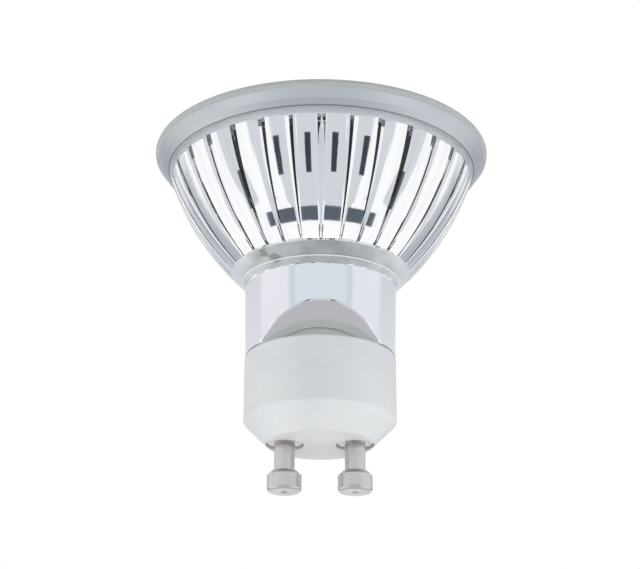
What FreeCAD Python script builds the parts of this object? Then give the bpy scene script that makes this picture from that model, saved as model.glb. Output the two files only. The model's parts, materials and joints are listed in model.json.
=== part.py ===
"""Mains-voltage reflector spot lamp with a two-pin twist-lock base.

+Z runs along the lamp's axis from the base to the front glass. The origin is the middle of the base's end face, and
the two pins lie on X. Lengths are in millimetres.
"""

import FreeCAD, Part
import math
import os

from FreeCAD import Vector

# Contact pins, turned
pin_spacing = 10.0
pin_reach = 6.85
pin_head_diameter = 4.9
pin_head_length = 2.95
pin_head_chamfer = 0.6
pin_tip_round = 0.5
pin_shank_diameter = 2.9
pin_collar_thickness = 0.65
pin_tail_diameter = 2.4
pin_rivet_flare = 0.6
pin_bore_depth = 6.4
pin_dimple_diameter = 1.3
pin_dimple_depth = 0.3

# Base, a ceramic cup
base_diameter = 21.9
base_height = 13.0
base_chamfer = 3.35
base_edge_round = 0.5
base_wall = 1.6
base_floor = 3.2
base_inner_chamfer = 1.0
pin_recess_clearance = 0.28
pin_recess_depth = 0.9
pin_tail_clearance = 0.05
wiring_space = 5.4

# Reflector's neck: radii grow outwards from the base's, heights stack upwards from its rim
neck_inset = 0.05
neck_draft = 0.22
neck_length = 10.45
neck_band_flare = 0.43
neck_band_height = 1.1
parting_seam = 0.12
ring_flare = 1.6
ring_height = 1.6
flat_height = 5.1
flat_depth = 4.2
flat_edge_round = 0.5
spigot_clearance = 0.2

# Bowl, smooth outside and fluted inside, and its flared rim: radii shrink inwards from the front glass
bowl_height = 16.08
bowl_bulge = 1.1
bowl_wall = 1.6
flute_count = 29
flute_flank_at_foot = 0.07
flute_flank_at_mouth = 0.25
flute_flank_slope_deg = 20.5
flute_sections = 8
rim_lower_flare = 0.95
rim_lower_height = 0.87
rim_upper_flare = 0.7
rim_upper_height = 1.18
rim_land = 2.7
mirror_floor_wall = 3.6
mirror_floor_height = 0.55

# Front glass and its adhesive
lens_diameter = 50.0
lens_thickness = 0.95
lens_edge_round = 0.4
lens_overhang = 0.45
seal_thickness = 0.15
seal_inner_gap = 0.9
seal_outer_gap = 0.85

# Burner capsule
pinch_width = 8.4
pinch_thickness = 3.0
pinch_clearance = 1.5
pinch_cover = 3.7
burner_diameter = 9.0
burner_wall = 0.9
burner_floor = 1.9
burner_lift = 0.4
burner_headroom = 4.2
exhaust_tip_diameter = 2.2
exhaust_tip_length = 1.2

# Filament and its support, and the foils that seal its leads into the pinch
filament_span = 3.2
filament_diameter = 0.8
filament_foot_gap = 1.4
filament_headroom = 2.6
support_diameter = 0.35
support_root = 1.5
support_clearance = 0.04
foil_spacing = 4.2
foil_width = 2.0
foil_thickness = 0.1
foil_end_cover = 2.0
foil_top_cover = 3.8
filament_lead_diameter = 0.5
filament_lead_bend = 0.15

# Supply leads, their sleeves and the cement
lead_diameter = 0.6
lead_bore_clearance = 0.1
lead_straight = 0.8
lead_bend = 0.6
sleeve_wall = 0.4
sleeve_clearance = 0.05
cement_recess = 0.3

# Heights worked out from the sizes above
seam_z = base_height
neck_top_z = seam_z + neck_length
ring_z = neck_top_z + neck_band_height
bowl_start_z = ring_z + ring_height
bowl_end_z = bowl_start_z + bowl_height
rim_crease_z = bowl_end_z + rim_lower_height
rim_top_z = rim_crease_z + rim_upper_height
lens_z = rim_top_z + seal_thickness
lens_top_z = lens_z + lens_thickness
mirror_floor_z = neck_top_z + mirror_floor_height
spigot_z = base_floor + wiring_space
cement_top_z = mirror_floor_z - cement_recess
cement_bottom_z = spigot_z + cement_recess
burner_z = mirror_floor_z + burner_lift
burner_top_z = lens_z - burner_headroom - exhaust_tip_length
cavity_z = burner_z + burner_floor
cavity_top_z = burner_top_z - burner_wall
pinch_z = cement_bottom_z + pinch_cover
foil_z = pinch_z + foil_end_cover
foil_top_z = burner_z - foil_top_cover
filament_foot_z = cavity_z + filament_foot_gap
filament_top_z = cavity_top_z - filament_headroom
rivet_top_z = base_floor + pin_rivet_flare
pin_bore_z = rivet_top_z - pin_bore_depth

# Radii and places across the axis
base_radius = base_diameter / 2
cavity_radius = base_radius - base_wall
spigot_radius = cavity_radius - spigot_clearance
neck_radius = base_radius - neck_inset
neck_top_radius = neck_radius + neck_draft
ring_radius = neck_top_radius + neck_band_flare
bowl_start_radius = ring_radius + ring_flare
lens_radius = lens_diameter / 2
rim_top_radius = lens_radius - lens_overhang
rim_crease_radius = rim_top_radius - rim_upper_flare
bowl_end_radius = rim_crease_radius - rim_lower_flare
mirror_mouth_radius = rim_top_radius - rim_land
mirror_floor_radius = neck_top_radius - mirror_floor_wall
flat_offset = neck_radius - flat_depth
slot_length = pinch_width + 2 * pinch_clearance
slot_width = pinch_thickness + 2 * pinch_clearance
pin_x = pin_spacing / 2
pin_collar_radius = pin_head_diameter / 2
foil_x = foil_spacing / 2
filament_x = filament_span / 2
support_radius = support_diameter / 2
hook_radius = filament_diameter / 2 + support_clearance + support_radius

SIDES = {"left": -1, "right": 1}
UP = Vector(0, 0, 1)
BACK = Vector(0, 1, 0)
FAR = 100.0
TINY = 1e-6


# Shapes that several pieces share


def corner_arc(before, corner, after, radius):
    """Start, middle and end of the arc that rounds a corner."""
    back = (before - corner).normalize()
    ahead = (after - corner).normalize()
    half_turn = (math.pi - back.getAngle(ahead)) / 2
    reach = radius * math.tan(half_turn)
    sag = radius / math.cos(half_turn) - radius
    return corner + back * reach, corner + (back + ahead).normalize() * sag, corner + ahead * reach


def outline(points):
    """Closed wire in the XZ plane through (x, z) points; a third number is that corner's radius."""
    corners = [Vector(point[0], 0, point[1]) for point in points]
    stops = []
    arcs = []
    for k, point in enumerate(points):
        start = end = corners[k]
        if len(point) > 2:
            start, middle, end = corner_arc(corners[k - 1], corners[k], corners[(k + 1) % len(corners)], point[2])
            arcs.append(Part.Arc(start, middle, end).toShape())
        stops.append((start, end))
    lines = [(a[1], b[0]) for a, b in zip(stops, stops[1:] + stops[:1])]
    edges = [Part.LineSegment(a, b).toShape() for a, b in lines if a.distanceToPoint(b) > TINY]
    return Part.Wire(Part.__sortEdges__(edges + arcs))


def turned(points):
    """Solid turned about Z from an outline of (radius, z) points."""
    return Part.Face(outline(points)).revolve(Vector(), UP, 360)


def cylinder(radius, low, high, x=0.0):
    return Part.makeCylinder(radius, high - low, Vector(x, 0, low))


def block(x_size, y_size, low, high, x=0.0):
    return Part.makeBox(x_size, y_size, high - low, Vector(x - x_size / 2, -y_size / 2, low))


def bent_path(points, bend):
    """Wire through (x, z) points whose corners are rounded; a bend takes up this length of each run beside it."""
    corners = [Vector(x, 0, z) for x, z in points]
    edges = []
    start = corners[0]
    for before, corner, after in zip(corners, corners[1:], corners[2:]):
        half_turn = (corner - before).getAngle(after - corner) / 2
        arc_start, middle, arc_end = corner_arc(before, corner, after, bend / math.tan(half_turn))
        edges.append(Part.LineSegment(start, arc_start).toShape())
        edges.append(Part.Arc(arc_start, middle, arc_end).toShape())
        start = arc_end
    edges.append(Part.LineSegment(start, corners[-1]).toShape())
    return Part.Wire(edges)


def rod_along(path, radius):
    """Round rod swept along a wire that starts vertically."""
    section = Part.Wire(Part.makeCircle(radius, path.OrderedVertexes[0].Point, UP))
    return path.makePipeShell([section], True, False)


# Reflector


def smooth_curve(start, middle, end):
    """Curve from one point to another that passes through the middle one half way."""
    curve = Part.BezierCurve()
    curve.setPoles([start, middle * 2 - (start + end) / 2, end])
    return curve


def bowl_line():
    """Bulged line of the bowl's outside, from the ring to the rim."""
    start = Vector(bowl_start_radius, 0, bowl_start_z)
    end = Vector(bowl_end_radius, 0, bowl_end_z)
    outwards = BACK.cross(end - start).normalize()
    return smooth_curve(start, (start + end) / 2 + outwards * bowl_bulge, end)


def bowl_body():
    """Smooth outside of the bowl."""
    line = bowl_line()
    rest = Part.makePolygon([line.EndPoint, Vector(0, 0, bowl_end_z), Vector(0, 0, bowl_start_z), line.StartPoint])
    return Part.Face(Part.Wire([line.toShape()] + rest.Edges)).revolve(Vector(), UP, 360)


def rim_body():
    """Flared rim in two bands."""
    return turned([(0, bowl_end_z), (bowl_end_radius, bowl_end_z), (rim_crease_radius, rim_crease_z),
                   (rim_top_radius, rim_top_z), (0, rim_top_z)])


def flat_cutter(side):
    """Wedge that leaves a sloping flat on the neck, and an upright one on the spigot below it."""
    flat_top_radius = neck_radius + neck_draft * flat_height / neck_length
    slope = flat_height / (flat_top_radius - flat_offset)
    points = [(flat_offset, seam_z), (FAR, seam_z + (FAR - flat_offset) * slope), (FAR, 0), (flat_offset, 0)]
    corners = [Vector(-FAR, side * y, z) for y, z in points]
    return Part.Face(Part.makePolygon(corners + corners[:1])).extrude(Vector(2 * FAR, 0, 0))


def flat_edges(neck):
    """Curved edges of the neck's two sloping flats."""
    planes = [face for face in neck.Faces if face.Surface.TypeId == "Part::GeomPlane"]
    flats = [face for face in planes if TINY < abs(face.normalAt(0, 0).z) < 1 - TINY]
    return [edge for face in flats for edge in face.Edges if edge.Curve.TypeId == "Part::GeomEllipse"]


def neck_body():
    """Spigot, drafted neck with its flats, flared band, parting seam, and the ring that the bowl stands on."""
    form = turned([(0, spigot_z), (spigot_radius, spigot_z), (spigot_radius, seam_z), (neck_radius, seam_z),
                   (neck_top_radius, neck_top_z), (ring_radius, ring_z - parting_seam),
                   (ring_radius + parting_seam, ring_z), (ring_radius, ring_z + parting_seam),
                   (bowl_start_radius, bowl_start_z), (0, bowl_start_z)])
    neck = form.cut([flat_cutter(side) for side in SIDES.values()])
    return neck.makeFillet(flat_edge_round, flat_edges(neck))


def mirror_line():
    """Line of the mirror, squarely inside the wall from the ring up to the mouth."""
    line = bowl_line()
    inner = [line.value(share) + line.tangent(share)[0].cross(BACK) * bowl_wall for share in (0, 0.5)]
    return smooth_curve(*inner, Vector(mirror_mouth_radius, 0, rim_top_z))


def flute_section(share):
    """Ring at a share of the mirror's line: round crowns, with sloping flanks that meet in a valley between them."""
    crown = mirror_line().value(share)
    pitch = 2 * math.pi / flute_count
    flank = pitch * (flute_flank_at_foot + (flute_flank_at_mouth - flute_flank_at_foot) * share)
    valley_radius = crown.x * (1 - flank * math.tan(math.radians(flute_flank_slope_deg)))

    def at(radius, angle):
        return Vector(radius * math.sin(angle), -radius * math.cos(angle), crown.z)

    edges = []
    for k in range(flute_count):
        start, end = pitch * k, pitch * (k + 1)
        crown_start, crown_end = at(crown.x, start + flank), at(crown.x, end - flank)
        edges.append(Part.LineSegment(at(valley_radius, start), crown_start).toShape())
        edges.append(Part.Arc(crown_start, at(crown.x, (start + end) / 2), crown_end).toShape())
        edges.append(Part.LineSegment(crown_end, at(valley_radius, end)).toShape())
    return Part.Wire(edges)


def mirror_hollow():
    """Inside of the bowl: a plain dish round the slot, then flutes that widen towards the mouth."""
    shares = [k / (flute_sections - 1) for k in range(flute_sections)]
    fluted = Part.makeLoft([flute_section(share) for share in shares], True, False)
    dish = mirror_line().StartPoint
    return fluted.fuse(turned([(0, mirror_floor_z), (mirror_floor_radius, mirror_floor_z), (dish.x, dish.z),
                               (0, dish.z)]))


def slot_solid(low, high):
    """Round-ended slot along X, between two heights."""
    end_x = (slot_length - slot_width) / 2
    ends = [cylinder(slot_width / 2, low, high, x) for x in (-end_x, end_x)]
    return block(2 * end_x, slot_width, low, high).fuse(ends).removeSplitter()


def spigot_solid(low, high):
    """The spigot with its two flats, between two heights."""
    return cylinder(spigot_radius, low, high).common(block(FAR, 2 * flat_offset, low, high))


def reflector():
    glass = bowl_body().fuse([rim_body(), neck_body()])
    return glass.cut([mirror_hollow(), slot_solid(spigot_z, mirror_floor_z)]).removeSplitter()


# Front glass


def front_lens():
    """Clear disc with a rounded edge."""
    return turned([(0, lens_z), (lens_radius, lens_z, lens_edge_round), (lens_radius, lens_top_z, lens_edge_round),
                   (0, lens_top_z)])


def lens_seal():
    """Bead of adhesive between the rim and the front glass."""
    inner = mirror_mouth_radius + seal_inner_gap
    outer = rim_top_radius - seal_outer_gap
    return turned([(inner, rim_top_z), (outer, rim_top_z), (outer, lens_z), (inner, lens_z)])


# Base and pins


def base_shell():
    shell = turned([(0, 0), (base_radius - base_chamfer, 0, base_edge_round),
                    (base_radius, base_chamfer, base_edge_round), (base_radius, seam_z, base_edge_round),
                    (cavity_radius, seam_z), (cavity_radius, base_floor + base_inner_chamfer),
                    (cavity_radius - base_inner_chamfer, base_floor), (0, base_floor)])
    recess_radius = pin_collar_radius + pin_recess_clearance
    hole_radius = pin_tail_diameter / 2 + pin_tail_clearance
    for x in (-pin_x, pin_x):
        recess = cylinder(recess_radius, -FAR, pin_recess_depth, x)
        shell = shell.cut([recess, cylinder(hole_radius, 0, base_floor, x)])
    return shell


def contact_pin(side):
    """Head, shank, collar in the base's recess, and a hollow tail that is riveted over inside the base."""
    head, shank, tail = pin_head_diameter / 2, pin_shank_diameter / 2, pin_tail_diameter / 2
    shoulder_z = pin_head_length - pin_reach
    collar_z = pin_recess_depth - pin_collar_thickness
    bore = lead_diameter / 2 + lead_bore_clearance
    pin = turned([(0, pin_dimple_depth - pin_reach), (pin_dimple_diameter / 2, -pin_reach),
                  (head, -pin_reach, pin_tip_round), (head, shoulder_z - pin_head_chamfer),
                  (head - pin_head_chamfer, shoulder_z), (shank, shoulder_z), (shank, collar_z),
                  (pin_collar_radius, collar_z), (pin_collar_radius, pin_recess_depth), (tail, pin_recess_depth),
                  (tail, base_floor), (tail + pin_rivet_flare, base_floor), (tail, rivet_top_z), (bore, rivet_top_z),
                  (bore, pin_bore_z), (0, pin_bore_z)])
    pin.translate(Vector(side * pin_x, 0, 0))
    return pin


def base_cement():
    """Cement that fills the clearance round the spigot and the pockets beside its flats."""
    high = seam_z - cement_recess
    return cylinder(cavity_radius, spigot_z, high).cut(spigot_solid(spigot_z, high))


# Burner capsule and what is sealed into it


def sealing_foil(side):
    return block(foil_width, foil_thickness, foil_z, foil_top_z, side * foil_x)


def filament_lead(side):
    """Wire from the top of a foil to one foot of the filament."""
    bend_z = (cavity_z + filament_foot_z) / 2
    points = [(side * foil_x, foil_top_z), (side * foil_x, cavity_z), (side * filament_x, bend_z),
              (side * filament_x, filament_foot_z)]
    return rod_along(bent_path(points, filament_lead_bend), filament_lead_diameter / 2)


def filament():
    """Outer form of the coiled wire: two legs with an arch between them."""
    arch_z = filament_top_z - filament_diameter / 2 - filament_x
    left_leg = Part.LineSegment(Vector(-filament_x, 0, filament_foot_z), Vector(-filament_x, 0, arch_z))
    right_leg = Part.LineSegment(Vector(filament_x, 0, arch_z), Vector(filament_x, 0, filament_foot_z))
    arch = Part.Arc(left_leg.EndPoint, Vector(0, 0, arch_z + filament_x), right_leg.StartPoint)
    path = Part.Wire([left_leg.toShape(), arch.toShape(), right_leg.toShape()])
    return rod_along(path, filament_diameter / 2)


def filament_support():
    """Upright wire out of the pinch, with a ring at its top that the arch hangs in."""
    ring_z = filament_top_z - filament_diameter / 2
    ring = Part.makeTorus(hook_radius, support_radius, Vector(0, 0, ring_z), Vector(1, 0, 0))
    return ring.fuse(cylinder(support_radius, cavity_z - support_root, ring_z - hook_radius)).removeSplitter()


def capsule_form(radius, low, high):
    """Round-ended cylinder between two heights."""
    return turned([(0, low), (radius, low, radius), (radius, high, radius), (0, high)])


def burner_capsule():
    """Bulb with its exhaust tip and flat pinch, closed round the foils and wires."""
    tip_radius = exhaust_tip_diameter / 2
    tip_root_z = burner_top_z - tip_radius
    tip = turned([(0, tip_root_z), (tip_radius, tip_root_z), (tip_radius / 2, burner_top_z + exhaust_tip_length),
                  (0, burner_top_z + exhaust_tip_length)])
    pinch = block(pinch_width, pinch_thickness, pinch_z, cavity_z)
    quartz = capsule_form(burner_diameter / 2, burner_z, burner_top_z).fuse([tip, pinch])
    sealed = [capsule_form(burner_diameter / 2 - burner_wall, cavity_z, cavity_top_z), filament_support()]
    for side in SIDES.values():
        sealed += [sealing_foil(side), filament_lead(side), supply_lead(side)]
    return quartz.cut(sealed).removeSplitter()


def burner_cement():
    """Cement that holds the pinch and the leads in the slot."""
    held = [block(pinch_width, pinch_thickness, pinch_z, burner_z)]
    held += [supply_lead(side) for side in SIDES.values()]
    return slot_solid(cement_bottom_z, cement_top_z).cut(held)


# Supply leads


def lead_route(side, high, low):
    """Way of one lead from the pinch out to its pin, between two heights."""
    return bent_path([(side * foil_x, high), (side * foil_x, cement_bottom_z - lead_straight),
                      (side * pin_x, rivet_top_z + lead_straight), (side * pin_x, low)], lead_bend)


def supply_lead(side):
    return rod_along(lead_route(side, foil_z, pin_bore_z), lead_diameter / 2)


def lead_sleeve(side):
    """Woven sleeve on the lead between the cement and the pin."""
    route = lead_route(side, cement_bottom_z, rivet_top_z)
    bore = lead_diameter / 2 + sleeve_clearance
    return rod_along(route, bore + sleeve_wall).cut(rod_along(route, bore))


def pieces():
    made = {"reflector": reflector(), "front_lens": front_lens(), "lens_seal": lens_seal(),
            "base_shell": base_shell(), "base_cement": base_cement(), "burner_capsule": burner_capsule(),
            "burner_cement": burner_cement(), "filament": filament(), "filament_support": filament_support()}
    sided = {"contact_pin": contact_pin, "sealing_foil": sealing_foil, "filament_lead": filament_lead,
             "supply_lead": supply_lead, "lead_sleeve": lead_sleeve}
    for side_name, side in SIDES.items():
        for piece_name, make in sided.items():
            made[f"{piece_name}_{side_name}"] = make(side)
    return made


os.makedirs("parts", exist_ok=True)
for name, shape in pieces().items():
    shape.exportStep(f"parts/{name}.step")
    print(f"{name}: {len(shape.Solids)} solid, valid {shape.isValid()}, {shape.Volume:.2f} mm3")
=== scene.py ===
"""Looks of a reflector spot lamp: mirror glass, clear front glass, ceramic base and plated pins."""

import json
import math

import bpy
from mathutils import Matrix, Vector


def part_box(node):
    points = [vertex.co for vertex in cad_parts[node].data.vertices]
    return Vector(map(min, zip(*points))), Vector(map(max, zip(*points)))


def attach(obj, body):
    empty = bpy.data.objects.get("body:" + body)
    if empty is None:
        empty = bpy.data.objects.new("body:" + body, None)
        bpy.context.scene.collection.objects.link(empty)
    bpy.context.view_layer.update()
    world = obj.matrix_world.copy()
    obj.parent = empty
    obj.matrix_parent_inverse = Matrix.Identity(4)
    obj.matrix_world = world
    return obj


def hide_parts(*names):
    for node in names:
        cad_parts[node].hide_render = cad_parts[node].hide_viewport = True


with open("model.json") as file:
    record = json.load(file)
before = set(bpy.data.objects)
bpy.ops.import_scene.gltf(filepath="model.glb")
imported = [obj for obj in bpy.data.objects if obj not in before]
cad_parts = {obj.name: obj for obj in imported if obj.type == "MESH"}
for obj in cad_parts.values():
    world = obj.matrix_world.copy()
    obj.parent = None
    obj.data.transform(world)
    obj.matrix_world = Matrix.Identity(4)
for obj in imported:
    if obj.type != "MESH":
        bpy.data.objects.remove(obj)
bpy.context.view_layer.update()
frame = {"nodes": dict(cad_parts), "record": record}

# Camera: it stands below the lamp and looks up at it
CAMERA_TARGET = Vector((-0.0001, 0.0, 0.0246))
CAMERA_DISTANCE = 0.2533
CAMERA_RISE_DEG = 21.75
CAMERA_ROLL_DEG = 0.29
CAMERA_LENS_MM = 96.7
CAMERA_SENSOR_MM = 36.0
CAMERA_NEAREST = 0.01

# Floor and surroundings, in metres
FLOOR_Z = -0.30
FLOOR_RADIUS = 6.0
FLOOR_SIDES = 96
FLOOR_FADE = (0.30, 0.65)
FLOOR_COLOUR = (0.84, 0.84, 0.84)
FLOOR_ROUGHNESS = 0.9
WHITE = (1.0, 1.0, 1.0)
FILL_COLOUR = (0.96, 0.98, 1.0)
FILL_STRENGTH = 0.50

# Lamps: place, diameter in metres, power in watts, and whether they show through glass
LAMPS = {
    "key": ((-1.5, -0.25, 0.4), 0.9, 6.5, False),
    "side": ((1.5, -0.25, 0.4), 0.9, 6.5, False),
    "under": ((0.0, -0.12, -0.28), 0.4, 0.58, True),
}

# Studio cards: centres and distances in metres
CARD_CENTRE = Vector((0.0, 0.0, 0.030))
BACK_CARD = 0.33
FAR_CARD = 0.31
MIDDLE_CARD = 0.29
NEAR_CARD = 0.27
FLAT_CENTRE = Vector((0.0, -0.0088, 0.0155))
FLAT_CARD = 0.03
CARD_STEPS = 48

# Spans of the studio cards in degrees, round the lamp and in height; of a pair, the right one's
FRONT_SPAN = (-39, 39)
BAR_SPAN = (-31, 31)
BAR_RISE = (-38.7, -35.1)
LOW_SPAN = (-45, 45)
LOW_RISE = (-41.6, -38.7)
RING_SPAN = (-70, 70)
RING_RISE = (-88, -63)
BACK_SPAN = (128, 232)
BACK_RISE = (-16, 14)
BOWL_RISE = (-60, 5)
SIDE_SPAN = (38, 122)
EDGE_SPAN = (121, 148)
EDGE_RISE = (-60, 12)
NEAR_STRIP_SPAN = (48, 56)
NEAR_STRIP_RISE = (-40, 8)
FAR_STRIP_SPAN = (67, 82)
FAR_STRIP_RISE = (-34, 8)
MARK_AZIMUTHS = (5.4, 17.9)
MARK_HALF_WIDTH = 1.3
MARK_RISE = (-27.6, -18.6)
NECK_RISE = (9, 70)
NECK_FRONT_SPAN = (-50, 50)
NECK_LEFT_SPAN = (-160, -36)
NECK_RIGHT_SPAN = (36, 160)
NECK_BACK_SPAN = (96, 264)
NECK_BORDER_SPAN = (36, 50)
FLAT_SPAN = (-60, 60)
FLAT_RISE = (-80, -49)

# Colours of the studio cards
CARD_GREY = (0.68, 0.70, 0.75)
CARD_WHITE = (1.04, 1.04, 1.04)
BAR_SHADE = (0.11, 0.13, 0.16)
MARK_SHADE = (0.05, 0.055, 0.07)
RING_SHADE = (0.66, 0.67, 0.68)
BACK_SHADE = (0.60, 0.63, 0.69)
EDGE_SHADE = (0.45, 0.48, 0.52)
NECK_FRONT_SHADE = (0.75, 0.80, 0.85)
NECK_LEFT_SHADE = (0.88, 0.88, 0.92)
NECK_RIGHT_SHADE = (0.84, 0.86, 0.90)
NECK_BACK_SHADE = (0.42, 0.46, 0.51)
NECK_BORDER_SHADE = (0.67, 0.72, 0.75)
FLAT_SHADE = (0.53, 0.52, 0.54)

# Heights and radii of the lamp in metres, from the frame
RIM_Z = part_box("reflector")[1].z
LENS_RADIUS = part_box("front_lens")[1].x
NECK_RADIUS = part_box("base_shell")[1].x
BASE_TOP_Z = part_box("base_shell")[1].z
SATIN_RIM_HEIGHT = 0.00205
SATIN_RIM_WIDTH = 0.0030
RIM_UPPER_HEIGHT = 0.00118
RIM_CREASE = 0.00018
# Span across the rim, in metres, over which its upper band turns to painted shade
RIM_SHADE = (0.008, 0.022)
RING_LOW = 0.0236
RING_HIGH = 0.0262
# Span across the ring, in metres, over which its sides turn to a painted highlight
RING_SIDE_HIGHLIGHT_SPAN = (0.0088, 0.0122)
RAGGED_EDGE = 0.0008
SEAM_RING_Z = 0.02455
SEAM_RING_WIDTH = 0.00008
GROUND_EDGE = 0.00035
ZONE_FADE = 0.0001

# Mirror coating inside the bowl's wall: (radius, height) points of the wall's outside, then depths into it
BOWL_FOOT = Vector((0.01315, 0.02615))
BOWL_TOP = Vector((0.0229, 0.04223))
BOWL_BULGE = 0.0011
COATING_INSET = 0.0014
COATING_EDGE = 0.00005
COATING_ROWS = 60
FLUTES = 29
FLANK_SHARES = (0.10, 0.27)
FLANK_SLOPES_DEG = (24.0, 19.0)
CROWN_STEPS = 8
FLUTE_END_SHARE = 0.955
FLUTE_STEP_SHARE = 0.004
CREASE_DEG = 3.0

# Coiled filament in metres, and a direction that its wire never follows
COIL_WIRE = 0.00006
COIL_PITCH = 0.00021
COIL_STEPS = 14
COIL_SIDES = 6
COIL_GUIDE = Vector((1.0, 0.3, 0.2))

# Colours of the materials, in pairs where a pattern runs from one to the other
SILVER = ((0.87, 0.885, 0.91), (0.91, 0.915, 0.93))
DULL_RING = ((0.50, 0.53, 0.545), (0.63, 0.64, 0.645))
STAINED_RING = (0.26, 0.28, 0.25)
# Painted highlight on the ring's left and right sides
RING_SIDE_HIGHLIGHT = (0.96, 0.98, 0.99)
# Painted highlight along the seam round the ring
SEAM_HIGHLIGHT = (0.86, 0.87, 0.87)
# Rim's lower band, painted darker than the upper one as shade
SHADED_LOWER_RIM_BAND = (0.60, 0.625, 0.655)
# Rim's upper band, running to painted shade at its left and right sides
UPPER_RIM_BAND_TO_SIDE_SHADE = ((0.68, 0.71, 0.74), (0.55, 0.575, 0.605))
# Painted shade in the crease at the rim's foot
PAINTED_CREASE_SHADE = (0.26, 0.28, 0.29)
BOWL_GLASS = (0.97, 0.98, 0.985)
FILM = ((0.93, 0.935, 0.945), (0.96, 0.962, 0.966))
SATIN_FILM = (0.88, 0.90, 0.93)
FRONT_GLASS = (0.93, 0.965, 0.95)
GROUND_GLASS = (0.60, 0.63, 0.625)
QUARTZ = (0.97, 0.975, 0.98)
CERAMIC = ((0.80, 0.80, 0.805), (0.85, 0.845, 0.845))
# Ceramic's top face, painted darker as shade under the bowl
SHADED_CERAMIC_TOP = (0.76, 0.78, 0.75)
PLATE = ((0.61, 0.575, 0.56), (0.73, 0.70, 0.685))
CEMENT = ((0.80, 0.79, 0.75), (0.92, 0.91, 0.87))
ADHESIVE = ((0.42, 0.43, 0.41), (0.52, 0.53, 0.51))
SLEEVING = ((0.72, 0.71, 0.67), (0.88, 0.87, 0.84))
TUNGSTEN = ((0.26, 0.26, 0.28), (0.40, 0.40, 0.42))
MOLYBDENUM = ((0.44, 0.44, 0.46), (0.58, 0.58, 0.60))
NICKEL = ((0.52, 0.51, 0.49), (0.66, 0.65, 0.63))

# Roughness of the materials, in pairs where it varies over the surface
GLASS_ROUGHNESS = (0.01, 0.42)
FILM_ROUGHNESS = (0.01, 0.03)
SATIN_FILM_ROUGHNESS = 0.45
WIPED_ROUGHNESS = 0.05
GROUND_ROUGHNESS = 0.45
QUARTZ_ROUGHNESS = (0.0, 0.06)
CERAMIC_ROUGHNESS = (0.38, 0.52)
PLATE_ROUGHNESS = (0.26, 0.38)
CEMENT_ROUGHNESS = (0.75, 0.9)
ADHESIVE_ROUGHNESS = (0.35, 0.5)
SLEEVING_ROUGHNESS = 0.85
WIRE_ROUGHNESS = (0.3, 0.42)
FOIL_ROUGHNESS = (0.25, 0.37)

# How the glasses bend light, what the ground edge lets through, and how far light sinks into the ceramic
GLASS_IOR = 1.5
QUARTZ_IOR = 1.46
GROUND_TRANSMISSION = 0.2
CERAMIC_SUBSURFACE = 0.05

# Patterns: features to the metre, stretches along an axis, and the part of a noise's range that counts
RAG_SCALE = 900.0
SILVER_SCALE = 90.0
SMUDGE_SCALE = 330.0
STAIN_SCALE = 210.0
WAVE_SCALE = 260.0
FILM_SCALE = 240.0
WIPE_SCALE = 420.0
RIPPLE_SCALE = 500.0
MOTTLE_SCALE = 130.0
GRAIN_SCALE = 2600.0
TARNISH_SCALE = 700.0
TURNING_SCALE = 300.0
LUMP_SCALE = 900.0
LUMP_ROUGHNESS = 0.65
STREAK_SCALE = 1500.0
CLOUD_SCALE = 600.0
WEAVE_SCALE = 900.0
WEAVE_DISTORTION = 2.0
WIPED_ALONG_Y = (1, 0.2, 1)
TURNED_ROUND_Z = (1, 1, 40)
DRAWN_ALONG_Z = (1, 1, 0.1)
USUAL_SPAN = (0.3, 0.7)
SMUDGE_SPAN = (0.35, 0.65)
STAIN_SPAN = (0.57, 0.62)
STAIN_COVER = 0.8
WIPE_SPAN = (0.45, 0.75)
RIPPLE_SPAN = (0.3, 0.8)

# Depths of the fine relief in metres
WAVE_DEPTH = 0.00002
RIPPLE_DEPTH = 0.00004
GRAIN_DEPTH = 0.00003
TURNING_DEPTH = 0.00002
LUMP_DEPTH = 0.0002
WEAVE_DEPTH = 0.00006

# Places of the factor, the two colours and the result on a mixing node for colours
MIX_FACTOR = 0
MIX_COLOURS = (6, 7)
MIX_RESULT = 2


# Node helpers


def new_material(name):
    """Material with a Principled shader, returned with its nodes, its links and that shader."""
    material = bpy.data.materials.new(name)
    material.use_nodes = True
    nodes = material.node_tree.nodes
    return material, nodes, material.node_tree.links, nodes["Principled BSDF"]


def opaque(colour):
    """Colour with full cover, as the sockets take it."""
    return (*colour, 1.0)


def add(nodes, kind, **settings):
    """Node of a kind; a setting named after a socket sets it, any other sets the node's own property."""
    node = nodes.new(kind)
    for key, value in settings.items():
        if key in node.inputs:
            node.inputs[key].default_value = value
        else:
            setattr(node, key, value)
    return node


def place(nodes):
    """Position in the lamp's own frame, in metres."""
    return add(nodes, "ShaderNodeTexCoord").outputs["Object"]


def noise(nodes, links, scale, detail=4.0, roughness=0.5, stretch=(1, 1, 1)):
    """Noise over the lamp's frame; scale is in features to the metre."""
    mapping = add(nodes, "ShaderNodeMapping", Scale=stretch)
    links.new(place(nodes), mapping.inputs["Vector"])
    texture = add(nodes, "ShaderNodeTexNoise", Scale=scale, Detail=detail, Roughness=roughness)
    links.new(mapping.outputs["Vector"], texture.inputs["Vector"])
    return texture.outputs["Fac"]


def ramp(nodes, links, value, low, high, from_value, to_value):
    """Value mapped smoothly from one range to another, and held at the ends."""
    node = add(nodes, "ShaderNodeMapRange", interpolation_type="SMOOTHSTEP")
    links.new(value, node.inputs["Value"])
    limits = {"From Min": low, "From Max": high, "To Min": from_value, "To Max": to_value}
    for key, number in limits.items():
        node.inputs[key].default_value = number
    return node.outputs["Result"]


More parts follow.
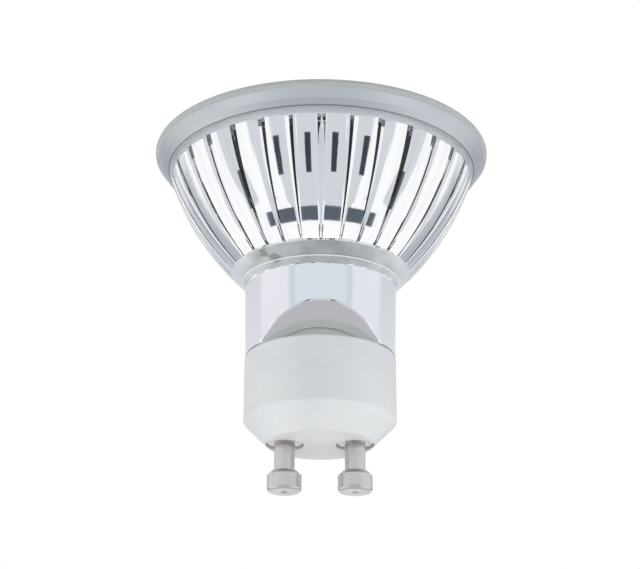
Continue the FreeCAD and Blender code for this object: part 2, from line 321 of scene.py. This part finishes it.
def mix_colours(nodes, links, factor, first, second):
    """Colour between two colours or sockets, by a factor socket."""
    node = add(nodes, "ShaderNodeMix", data_type="RGBA")
    links.new(factor, node.inputs[MIX_FACTOR])
    for index, colour in zip(MIX_COLOURS, (first, second)):
        if isinstance(colour, tuple):
            node.inputs[index].default_value = opaque(colour)
        else:
            links.new(colour, node.inputs[index])
    return node.outputs[MIX_RESULT]


def mix_shaders(nodes, links, factor, first, second, output):
    """Material or world output that goes from one shader to another by a factor socket."""
    node = add(nodes, "ShaderNodeMixShader")
    for socket, value in zip(node.inputs, (factor, first.outputs[0], second.outputs[0])):
        links.new(value, socket)
    links.new(node.outputs[0], nodes[output].inputs["Surface"])


def bump(nodes, links, height, distance):
    """Surface direction of a fine relief."""
    node = add(nodes, "ShaderNodeBump", Distance=distance, Strength=1.0)
    links.new(height, node.inputs["Height"])
    return node.outputs["Normal"]


def math_node(nodes, links, operation, first, second):
    """Result of a sum on two values, each a socket or a number."""
    node = add(nodes, "ShaderNodeMath", operation=operation)
    for socket, value in zip(node.inputs, (first, second)):
        if isinstance(value, (int, float)):
            socket.default_value = value
        else:
            links.new(value, socket)
    return node.outputs[0]


def both(nodes, links, first, second):
    """1 where two shares are both 1."""
    return math_node(nodes, links, "MULTIPLY", first, second)


def either(nodes, links, first, second):
    """The greater of two shares."""
    return math_node(nodes, links, "MAXIMUM", first, second)


def inverse(nodes, links, share):
    """1 where a share is 0, and 0 where it is 1."""
    return math_node(nodes, links, "SUBTRACT", 1.0, share)


def above(nodes, links, value, level):
    """1 where a value is over a level, and 0 just below it."""
    return ramp(nodes, links, value, level - ZONE_FADE, level, 0.0, 1.0)


def along_axis(nodes, links, axis):
    """Position along one axis of the lamp's frame, in metres."""
    split = add(nodes, "ShaderNodeSeparateXYZ")
    links.new(place(nodes), split.inputs["Vector"])
    return split.outputs[axis]


def axis_distance(nodes, links):
    """Distance from the lamp's axis, in metres."""
    flat = add(nodes, "ShaderNodeCombineXYZ")
    for axis in ("X", "Y"):
        links.new(along_axis(nodes, links, axis), flat.inputs[axis])
    radius = add(nodes, "ShaderNodeVectorMath", operation="LENGTH")
    links.new(flat.outputs[0], radius.inputs[0])
    return radius.outputs["Value"]


# Materials


def ring_tint(nodes, links, sideways, seam_highlight):
    """Dull ring under the bowl: smudged and stained, painted lighter towards its sides as a highlight, with a
    pale painted highlight along the seam round it.
    """
    smudge = ramp(nodes, links, noise(nodes, links, SMUDGE_SCALE, detail=3.0), *SMUDGE_SPAN, 0.0, 1.0)
    dull = mix_colours(nodes, links, smudge, *DULL_RING)
    stains = ramp(nodes, links, noise(nodes, links, STAIN_SCALE, detail=5.0), *STAIN_SPAN, 0.0, STAIN_COVER)
    dull = mix_colours(nodes, links, stains, dull, STAINED_RING)
    # Painted highlight: the ring lightens towards its left and right sides
    dull = mix_colours(nodes, links, ramp(nodes, links, sideways, *RING_SIDE_HIGHLIGHT_SPAN, 0.0, 1.0), dull, RING_SIDE_HIGHLIGHT)
    # Painted highlight: a pale line along the seam
    return mix_colours(nodes, links, seam_highlight, dull, SEAM_HIGHLIGHT)


def rim_tint(nodes, links, height, sideways):
    """Two bands round the rim over a crease of painted shade; the lower band is painted darker as shade, and
    the upper one has painted shade at its sides.
    """
    # Painted shade: the upper band darkens towards its left and right sides
    upper = mix_colours(nodes, links, ramp(nodes, links, sideways, *RIM_SHADE, 0.0, 1.0), *UPPER_RIM_BAND_TO_SIDE_SHADE)
    band = above(nodes, links, height, RIM_Z - RIM_UPPER_HEIGHT)
    # Painted shade: the lower band is darker than the upper one
    bands = mix_colours(nodes, links, band, SHADED_LOWER_RIM_BAND, upper)
    # Painted shade along the crease at the foot of the rim
    crease = above(nodes, links, height, RIM_Z - SATIN_RIM_HEIGHT + RIM_CREASE)
    return mix_colours(nodes, links, crease, PAINTED_CREASE_SHADE, bands)


def mirror_glass():
    """Pressed glass: clear over the bowl, silvered on the neck, dull on the ring and satin on the rim."""
    material, nodes, links, shader = new_material("mirror_glass")
    height = along_axis(nodes, links, "Z")
    radius = axis_distance(nodes, links)
    sideways = math_node(nodes, links, "ABSOLUTE", along_axis(nodes, links, "X"), 0.0)

    rag = both(nodes, links, noise(nodes, links, RAG_SCALE, detail=3.0), RAGGED_EDGE)
    ragged = math_node(nodes, links, "ADD", height, rag)
    over_ring = above(nodes, links, height, RING_HIGH)
    ring = both(nodes, links, above(nodes, links, ragged, RING_LOW + RAGGED_EDGE / 2),
                inverse(nodes, links, over_ring))
    ring = both(nodes, links, ring, above(nodes, links, radius, NECK_RADIUS - 3 * ZONE_FADE))
    # Thin band along the seam that takes a painted highlight and is not metal
    seam_highlight = both(nodes, links, above(nodes, links, height, SEAM_RING_Z - SEAM_RING_WIDTH),
                inverse(nodes, links, above(nodes, links, height, SEAM_RING_Z + ZONE_FADE)))
    rim = both(nodes, links, above(nodes, links, height, RIM_Z - SATIN_RIM_HEIGHT),
               above(nodes, links, radius, LENS_RADIUS - SATIN_RIM_WIDTH))
    within = add(nodes, "ShaderNodeNewGeometry").outputs["Backfacing"]
    clear = either(nodes, links, both(nodes, links, over_ring, inverse(nodes, links, rim)), within)
    coated = inverse(nodes, links, clear)

    silver = mix_colours(nodes, links, noise(nodes, links, SILVER_SCALE), *SILVER)
    tint = mix_colours(nodes, links, ring, silver, ring_tint(nodes, links, sideways, seam_highlight))
    tint = mix_colours(nodes, links, rim, tint, rim_tint(nodes, links, height, sideways))
    links.new(mix_colours(nodes, links, clear, tint, BOWL_GLASS), shader.inputs["Base Color"])
    satin = both(nodes, links, either(nodes, links, rim, ring), coated)
    links.new(ramp(nodes, links, satin, 0.0, 1.0, *GLASS_ROUGHNESS), shader.inputs["Roughness"])
    links.new(clear, shader.inputs["Transmission Weight"])
    # The seam's painted highlight is left out of the metal
    metal = both(nodes, links, coated, inverse(nodes, links, both(nodes, links, seam_highlight, ring)))
    links.new(metal, shader.inputs["Metallic"])
    shader.inputs["IOR"].default_value = GLASS_IOR
    waves = noise(nodes, links, WAVE_SCALE, detail=2.0)
    links.new(bump(nodes, links, waves, WAVE_DEPTH), shader.inputs["Normal"])
    return material


def bright_coating():
    """Aluminium film behind the bowl's glass, faintly cloudy, and satin on the plain band over the flutes."""
    material, nodes, links, shader = new_material("bright_coating")
    cloud = noise(nodes, links, FILM_SCALE, detail=3.0)
    film = mix_colours(nodes, links, cloud, *FILM)
    band = above(nodes, links, along_axis(nodes, links, "Z"), coating_point(FLUTE_END_SHARE).y + ZONE_FADE)
    links.new(mix_colours(nodes, links, band, film, SATIN_FILM), shader.inputs["Base Color"])
    gloss = ramp(nodes, links, cloud, *USUAL_SPAN, *FILM_ROUGHNESS)
    satin = ramp(nodes, links, band, 0.0, 1.0, 0.0, SATIN_FILM_ROUGHNESS)
    links.new(either(nodes, links, gloss, satin), shader.inputs["Roughness"])
    shader.inputs["Metallic"].default_value = 1.0
    return material


def clear_glass():
    """Front glass, faintly green, with a ground edge and light wiping marks."""
    material, nodes, links, shader = new_material("clear_glass")
    edge = above(nodes, links, axis_distance(nodes, links), LENS_RADIUS - GROUND_EDGE)
    links.new(mix_colours(nodes, links, edge, FRONT_GLASS, GROUND_GLASS), shader.inputs["Base Color"])
    passed = ramp(nodes, links, edge, 0.0, 1.0, 1.0, GROUND_TRANSMISSION)
    links.new(passed, shader.inputs["Transmission Weight"])
    shader.inputs["IOR"].default_value = GLASS_IOR
    marks = noise(nodes, links, WIPE_SCALE, detail=3.0, stretch=WIPED_ALONG_Y)
    wiped = ramp(nodes, links, marks, *WIPE_SPAN, 0.0, WIPED_ROUGHNESS)
    ground = ramp(nodes, links, edge, 0.0, 1.0, 0.0, GROUND_ROUGHNESS)
    links.new(math_node(nodes, links, "ADD", wiped, ground), shader.inputs["Roughness"])
    return material


def quartz():
    """Clear quartz with a faint ripple."""
    material, nodes, links, shader = new_material("quartz")
    shader.inputs["Base Color"].default_value = opaque(QUARTZ)
    shader.inputs["Transmission Weight"].default_value = 1.0
    shader.inputs["IOR"].default_value = QUARTZ_IOR
    ripple = noise(nodes, links, RIPPLE_SCALE, detail=2.0)
    links.new(bump(nodes, links, ripple, RIPPLE_DEPTH), shader.inputs["Normal"])
    links.new(ramp(nodes, links, ripple, *RIPPLE_SPAN, *QUARTZ_ROUGHNESS), shader.inputs["Roughness"])
    return material


def white_ceramic():
    """Fine matte ceramic with a faint mottle and pressed grain, and painted shade on its top face."""
    material, nodes, links, shader = new_material("white_ceramic")
    mottle = noise(nodes, links, MOTTLE_SCALE, detail=6.0)
    body = mix_colours(nodes, links, ramp(nodes, links, mottle, *USUAL_SPAN, 0.0, 1.0), *CERAMIC)
    # Painted shade on the top face under the bowl
    top = above(nodes, links, along_axis(nodes, links, "Z"), BASE_TOP_Z - 2 * ZONE_FADE)
    links.new(mix_colours(nodes, links, top, body, SHADED_CERAMIC_TOP), shader.inputs["Base Color"])
    grain = noise(nodes, links, GRAIN_SCALE, detail=3.0)
    links.new(ramp(nodes, links, grain, *USUAL_SPAN, *CERAMIC_ROUGHNESS), shader.inputs["Roughness"])
    links.new(bump(nodes, links, grain, GRAIN_DEPTH), shader.inputs["Normal"])
    shader.inputs["Subsurface Weight"].default_value = CERAMIC_SUBSURFACE
    return material


def plated_brass():
    """Satin nickel plate with fine turning rings."""
    material, nodes, links, shader = new_material("plated_brass")
    tarnish = noise(nodes, links, TARNISH_SCALE, detail=5.0)
    links.new(mix_colours(nodes, links, tarnish, *PLATE), shader.inputs["Base Color"])
    shader.inputs["Metallic"].default_value = 1.0
    rings = noise(nodes, links, TURNING_SCALE, detail=2.0, stretch=TURNED_ROUND_Z)
    links.new(ramp(nodes, links, rings, *USUAL_SPAN, *PLATE_ROUGHNESS), shader.inputs["Roughness"])
    links.new(bump(nodes, links, rings, TURNING_DEPTH), shader.inputs["Normal"])
    return material


def cement():
    """Rough, lumpy, off-white cement."""
    material, nodes, links, shader = new_material("cement")
    lumps = noise(nodes, links, LUMP_SCALE, detail=6.0, roughness=LUMP_ROUGHNESS)
    links.new(mix_colours(nodes, links, lumps, *CEMENT), shader.inputs["Base Color"])
    links.new(ramp(nodes, links, lumps, *USUAL_SPAN, *CEMENT_ROUGHNESS), shader.inputs["Roughness"])
    links.new(bump(nodes, links, lumps, LUMP_DEPTH), shader.inputs["Normal"])
    return material


def wire_metal(name, colours, roughness):
    """Drawn wire or rolled foil, with streaks along the axis."""
    material, nodes, links, shader = new_material(name)
    streaks = noise(nodes, links, STREAK_SCALE, detail=3.0, stretch=DRAWN_ALONG_Z)
    links.new(mix_colours(nodes, links, streaks, *colours), shader.inputs["Base Color"])
    links.new(ramp(nodes, links, streaks, *USUAL_SPAN, *roughness), shader.inputs["Roughness"])
    shader.inputs["Metallic"].default_value = 1.0
    return material


def clear_adhesive():
    """Dull grey silicone, slightly cloudy."""
    material, nodes, links, shader = new_material("clear_adhesive")
    cloud = noise(nodes, links, CLOUD_SCALE)
    links.new(mix_colours(nodes, links, cloud, *ADHESIVE), shader.inputs["Base Color"])
    links.new(ramp(nodes, links, cloud, *USUAL_SPAN, *ADHESIVE_ROUGHNESS), shader.inputs["Roughness"])
    return material


def glass_fibre():
    """Woven sleeving, as a wavy weave."""
    material, nodes, links, shader = new_material("glass_fibre")
    weave = add(nodes, "ShaderNodeTexWave", Scale=WEAVE_SCALE, Distortion=WEAVE_DISTORTION)
    links.new(place(nodes), weave.inputs["Vector"])
    links.new(mix_colours(nodes, links, weave.outputs["Fac"], *SLEEVING), shader.inputs["Base Color"])
    links.new(bump(nodes, links, weave.outputs["Fac"], WEAVE_DEPTH), shader.inputs["Normal"])
    shader.inputs["Roughness"].default_value = SLEEVING_ROUGHNESS
    return material


def dress_nodes():
    """Each CAD node takes the material of its slot in the record."""
    made = {
        "mirror_glass": mirror_glass(),
        "clear_glass": clear_glass(),
        "quartz": quartz(),
        "white_ceramic": white_ceramic(),
        "plated_brass": plated_brass(),
        "cement": cement(),
        "clear_adhesive": clear_adhesive(),
        "glass_fibre": glass_fibre(),
        "tungsten": wire_metal("tungsten", TUNGSTEN, WIRE_ROUGHNESS),
        "molybdenum": wire_metal("molybdenum", MOLYBDENUM, FOIL_ROUGHNESS),
        "nickel_wire": wire_metal("nickel_wire", NICKEL, WIRE_ROUGHNESS),
    }
    for part in frame["record"]["subparts"]:
        mesh = frame["nodes"][part["node"]].data
        mesh.materials.clear()
        mesh.materials.append(made[part["material_slot"]])
    return made


# Pieces that the frame does not hold


def new_piece(name, vertices, faces):
    """Smooth mesh that rides on the lamp."""
    mesh = bpy.data.meshes.new(name)
    mesh.from_pydata(vertices, [], faces)
    mesh.shade_smooth()
    piece = bpy.data.objects.new(name, mesh)
    bpy.context.scene.collection.objects.link(piece)
    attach(piece, "root")
    return piece


def lattice(rows, columns, first=0):
    """Quads between closed rows of vertices, from a first vertex on."""
    faces = []
    for row in range(first, first + (rows - 1) * columns, columns):
        for k in range(columns):
            after = (k + 1) % columns
            faces.append((row + k, row + after, row + columns + after, row + columns + k))
    return faces


def coating_point(share):
    """Radius and height of the coating's crowns at a share of the bowl's height."""
    chord = BOWL_TOP - BOWL_FOOT
    outwards = Vector((chord.y, -chord.x)).normalized()
    control = (BOWL_FOOT + BOWL_TOP) / 2 + outwards * 2 * BOWL_BULGE
    point = BOWL_FOOT * (1 - share) ** 2 + control * 2 * share * (1 - share) + BOWL_TOP * share ** 2
    along = ((control - BOWL_FOOT) * (1 - share) + (BOWL_TOP - control) * share).normalized()
    return point + Vector((-along.y, along.x)) * COATING_INSET


def flute_row(share):
    """Closed row of the coating's vertices: plain crowns, and bent flanks that meet in valleys."""
    radius, height = coating_point(share)
    pitch = 2 * math.pi / FLUTES
    low, high = FLANK_SHARES
    flank = (low + (high - low) * share) * pitch
    falls = [radius * flank / 2 * math.tan(math.radians(slope)) for slope in FLANK_SLOPES_DEG]
    if share > FLUTE_END_SHARE:
        falls = [0.0, 0.0]
    rise = [(0.0, sum(falls)), (flank / 2, falls[1])]
    crown = [(flank + (pitch - 2 * flank) * k / CROWN_STEPS, 0.0) for k in range(CROWN_STEPS + 1)]
    spots = rise + crown + [(pitch - flank / 2, falls[1])]
    turns = [(pitch * flute + turn, radius - depth) for flute in range(FLUTES) for turn, depth in spots]
    return [(reach * math.sin(turn), -reach * math.cos(turn), height) for turn, reach in turns]


def wall_row(row):
    """Row moved out to the glass wall's outside, at the rim's lower edge."""
    reach = BOWL_TOP.x - COATING_EDGE
    moved = []
    for x, y, _ in row:
        length = math.hypot(x, y)
        moved.append((x * reach / length, y * reach / length, BOWL_TOP.y))
    return moved


def build_coating():
    """Mirror film in flutes whose flanks widen upwards, with a plain band and a skirt out to the wall."""
    fluted = [flute_row(FLUTE_END_SHARE * k / COATING_ROWS) for k in range(COATING_ROWS + 1)]
    plain = [flute_row(share) for share in (FLUTE_END_SHARE + FLUTE_STEP_SHARE, 1.0)]
    plain.append(wall_row(plain[-1]))
    columns = len(plain[0])
    vertices = [vertex for row in fluted + plain for vertex in row]
    faces = lattice(len(fluted), columns) + lattice(len(plain), columns, len(fluted) * columns)
    coating = new_piece("mirror_coating", vertices, faces)
    coating.data.set_sharp_from_angle(angle=math.radians(CREASE_DEG))
    coating.data.materials.append(bright_coating())


def coil_line():
    """Steps along the filament's middle line: number, point, outward direction and the winding's radius."""
    low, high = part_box("filament")
    coil_radius = (high.y - low.y) / 2
    arch_radius = high.x - coil_radius
    arch_z = high.z - coil_radius - arch_radius
    leg = arch_z - low.z
    arch = math.pi * arch_radius
    count = round((2 * leg + arch) / COIL_PITCH * COIL_STEPS)
    for k in range(count + 1):
        run = (2 * leg + arch) * k / count
        turn = min(max(run - leg, 0.0), arch) / arch_radius
        climb = min(run, leg) - max(run - leg - arch, 0.0)
        spot = Vector((-arch_radius * math.cos(turn), 0.0, low.z + climb + arch_radius * math.sin(turn)))
        yield k, spot, Vector((-math.cos(turn), 0.0, math.sin(turn))), coil_radius - COIL_WIRE


def build_coil(material):
    """Filament as one wire wound round its middle line."""
    back = Vector((0.0, 1.0, 0.0))
    spots = []
    for k, spot, outwards, radius in coil_line():
        angle = 2 * math.pi * k / COIL_STEPS
        spots.append(spot + (outwards * math.cos(angle) + back * math.sin(angle)) * radius)
    vertices = []
    for before, spot, after in zip(spots[:1] + spots, spots, spots[1:] + spots[-1:]):
        along = (after - before).normalized()
        side = along.cross(COIL_GUIDE).normalized()
        for k in range(COIL_SIDES):
            angle = 2 * math.pi * k / COIL_SIDES
            vertices.append(spot + (side * math.cos(angle) + along.cross(side) * math.sin(angle)) * COIL_WIRE)
    coil = new_piece("filament_coil", vertices, lattice(len(spots), COIL_SIDES))
    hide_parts("filament")
    coil.data.materials.append(material)


# Stage


def light_path_share(nodes, links):
    """1 for what the camera sees straight, in metal or through glass, and 0 for the light on a surface."""
    path = add(nodes, "ShaderNodeLightPath")
    seen = either(nodes, links, path.outputs["Is Camera Ray"], path.outputs["Is Glossy Ray"])
    return either(nodes, links, seen, path.outputs["Is Transmission Ray"])


def build_world():
    """White to look at, with a softer fill light."""
    world = bpy.data.worlds.new("studio")
    bpy.context.scene.world = world
    world.use_nodes = True
    nodes, links = world.node_tree.nodes, world.node_tree.links
    shown = nodes["Background"]
    shown.inputs["Color"].default_value = opaque(WHITE)
    fill = add(nodes, "ShaderNodeBackground", Color=opaque(FILL_COLOUR), Strength=FILL_STRENGTH)
    mix_shaders(nodes, links, light_path_share(nodes, links), fill, shown, "World Output")


def build_floor():
    """Pale floor that fades into the white surroundings far from the lamp."""
    bpy.ops.mesh.primitive_circle_add(vertices=FLOOR_SIDES, radius=FLOOR_RADIUS, fill_type="NGON",
                                      location=(0, 0, FLOOR_Z))
    floor = bpy.context.object
    floor.name = "floor"
    material, nodes, links, shader = new_material("floor")
    shader.inputs["Base Color"].default_value = opaque(FLOOR_COLOUR)
    shader.inputs["Roughness"].default_value = FLOOR_ROUGHNESS
    glow = add(nodes, "ShaderNodeEmission", Color=opaque(WHITE), Strength=1.0)
    distance = add(nodes, "ShaderNodeVectorMath", operation="LENGTH")
    links.new(place(nodes), distance.inputs[0])
    far = ramp(nodes, links, distance.outputs["Value"], *FLOOR_FADE, 0.0, 1.0)
    share = both(nodes, links, far, light_path_share(nodes, links))
    mix_shaders(nodes, links, share, shader, glow, "Material Output")
    floor.data.materials.append(material)


def towards(azimuth_deg, elevation_deg):
    """Unit vector; azimuth 0 points at the camera's side and 90 to the right."""
    azimuth, elevation = math.radians(azimuth_deg), math.radians(elevation_deg)
    return Vector((math.sin(azimuth) * math.cos(elevation), -math.cos(azimuth) * math.cos(elevation),
                   math.sin(elevation)))


def mirrored(azimuth_deg, elevation_deg):
    """Direction that the camera sees in a mirror which faces this way."""
    normal = towards(azimuth_deg, elevation_deg)
    view = towards(0.0, -CAMERA_RISE_DEG)
    return normal * 2 * normal.dot(view) - view


def card_glow(name, colour):
    """Plain glow that gives way to nothing where the card's cover fades."""
    material, nodes, links, _ = new_material(name)
    glow = add(nodes, "ShaderNodeEmission", Color=opaque(colour), Strength=1.0)
    nothing = add(nodes, "ShaderNodeBsdfTransparent")
    cover = add(nodes, "ShaderNodeAttribute", attribute_name="cover").outputs["Fac"]
    mix_shaders(nodes, links, cover, nothing, glow, "Material Output")
    return material


def card(name, azimuths, elevations, colour, radius, soft, aim=towards, centre=CARD_CENTRE):
    """Studio card on a sphere, seen only in reflections, whose edges fade over soft degrees."""
    spans = (azimuths, elevations)
    shares = [k / CARD_STEPS for k in range(CARD_STEPS + 1)]
    vertices = []
    cover = []
    for v in shares:
        for u in shares:
            angles = [low + (high - low) * share for (low, high), share in zip(spans, (u, v))]
            vertices.append(centre + aim(*angles) * radius)
            insets = [abs(high - low) * min(share, 1 - share) for (low, high), share in zip(spans, (u, v))]
            cover.append(min(1.0, min(insets) / soft))
    row = CARD_STEPS + 1
    corners = [j * row + k for j in range(CARD_STEPS) for k in range(CARD_STEPS)]
    mesh = bpy.data.meshes.new(name)
    mesh.from_pydata(vertices, [], [(k, k + 1, k + row + 1, k + row) for k in corners])
    mesh.attributes.new("cover", "FLOAT", "POINT").data.foreach_set("value", cover)
    mesh.materials.append(card_glow(name, colour))
    panel = bpy.data.objects.new(name, mesh)
    bpy.context.scene.collection.objects.link(panel)
    panel.visible_camera = panel.visible_diffuse = panel.visible_shadow = False


def on_side(side, span):
    """Span on the right of the lamp for side 1, and its mirror image on the left for side -1."""
    return [side * azimuth for azimuth in span]


def build_bowl_cards():
    """What the bowl shows: a grey front with dark marks and a dark bar in it, white sides and a grey back."""
    card("bowl_front", FRONT_SPAN, BOWL_RISE, CARD_GREY, FAR_CARD, soft=1.5)
    card("low_bar", BAR_SPAN, BAR_RISE, BAR_SHADE, NEAR_CARD, soft=0.3, aim=mirrored)
    card("low_white", LOW_SPAN, LOW_RISE, CARD_WHITE, MIDDLE_CARD, soft=0.2, aim=mirrored)
    card("ring_front", RING_SPAN, RING_RISE, RING_SHADE, FAR_CARD, soft=9.0)
    card("bowl_back", BACK_SPAN, BACK_RISE, BACK_SHADE, BACK_CARD, soft=3.0)
    for side in (-1, 1):
        card("bowl_side", on_side(side, SIDE_SPAN), BOWL_RISE, CARD_WHITE, BACK_CARD, soft=0.5)
        card("side_edge", on_side(side, EDGE_SPAN), EDGE_RISE, EDGE_SHADE, FAR_CARD, soft=5.0)
        card("near_strip", on_side(side, NEAR_STRIP_SPAN), NEAR_STRIP_RISE, CARD_GREY, FAR_CARD, soft=1.0)
        card("far_strip", on_side(side, FAR_STRIP_SPAN), FAR_STRIP_RISE, CARD_GREY, FAR_CARD, soft=1.0)
        for azimuth in MARK_AZIMUTHS:
            span = (side * azimuth - MARK_HALF_WIDTH, side * azimuth + MARK_HALF_WIDTH)
            card("dark_mark", span, MARK_RISE, MARK_SHADE, NEAR_CARD, soft=0.2, aim=mirrored)


def build_neck_cards():
    """What the upright neck shows: a pale blue front, near-white sides and grey edges."""
    card("neck_front", NECK_FRONT_SPAN, NECK_RISE, NECK_FRONT_SHADE, FAR_CARD, soft=5.0)
    card("neck_left", NECK_LEFT_SPAN, NECK_RISE, NECK_LEFT_SHADE, BACK_CARD, soft=4.0)
    card("neck_right", NECK_RIGHT_SPAN, NECK_RISE, NECK_RIGHT_SHADE, BACK_CARD, soft=4.0)
    card("neck_back", NECK_BACK_SPAN, NECK_RISE, NECK_BACK_SHADE, FAR_CARD, soft=30.0)
    for side in (-1, 1):
        span = on_side(side, NECK_BORDER_SPAN)
        card("neck_border", span, NECK_RISE, NECK_BORDER_SHADE, MIDDLE_CARD, soft=6.0)


def build_flat_card():
    """What the front flat on the neck shows: plain lilac grey."""
    card("flat_card", FLAT_SPAN, FLAT_RISE, FLAT_SHADE, FLAT_CARD, soft=0.3, centre=FLAT_CENTRE)


def build_lamps():
    """Soft round lamps that all face the bowl, and that metal does not show."""
    for name, (spot, diameter, power, through_glass) in LAMPS.items():
        data = bpy.data.lights.new(name, "AREA")
        data.shape = "DISK"
        data.size = diameter
        data.energy = power
        lamp = bpy.data.objects.new(name, data)
        bpy.context.scene.collection.objects.link(lamp)
        lamp.location = spot
        lamp.rotation_euler = (CARD_CENTRE - Vector(spot)).to_track_quat("-Z", "Y").to_euler()
        lamp.visible_glossy = lamp.visible_camera = False
        lamp.visible_transmission = through_glass


def build_camera():
    """Camera below the lamp's front, aimed up at it and turned a little about its own line."""
    data = bpy.data.cameras.new("camera")
    data.sensor_width = CAMERA_SENSOR_MM
    data.sensor_fit = "HORIZONTAL"
    data.lens = CAMERA_LENS_MM
    data.clip_start = CAMERA_NEAREST
    camera = bpy.data.objects.new("camera", data)
    bpy.context.scene.collection.objects.link(camera)
    rise = math.radians(CAMERA_RISE_DEG)
    forward = Vector((0, math.cos(rise), math.sin(rise)))
    tilt = Matrix.Rotation(math.pi / 2 + rise, 4, "X")
    roll = Matrix.Rotation(math.radians(CAMERA_ROLL_DEG), 4, "Z")
    camera.matrix_world = Matrix.Translation(CAMERA_TARGET - forward * CAMERA_DISTANCE) @ (tilt @ roll)
    bpy.context.scene.camera = camera


bpy.context.scene.view_settings.view_transform = "Standard"
build_camera()
build_world()
build_floor()
build_bowl_cards()
build_neck_cards()
build_flat_card()
build_lamps()
made = dress_nodes()
build_coating()
build_coil(made["tungsten"])
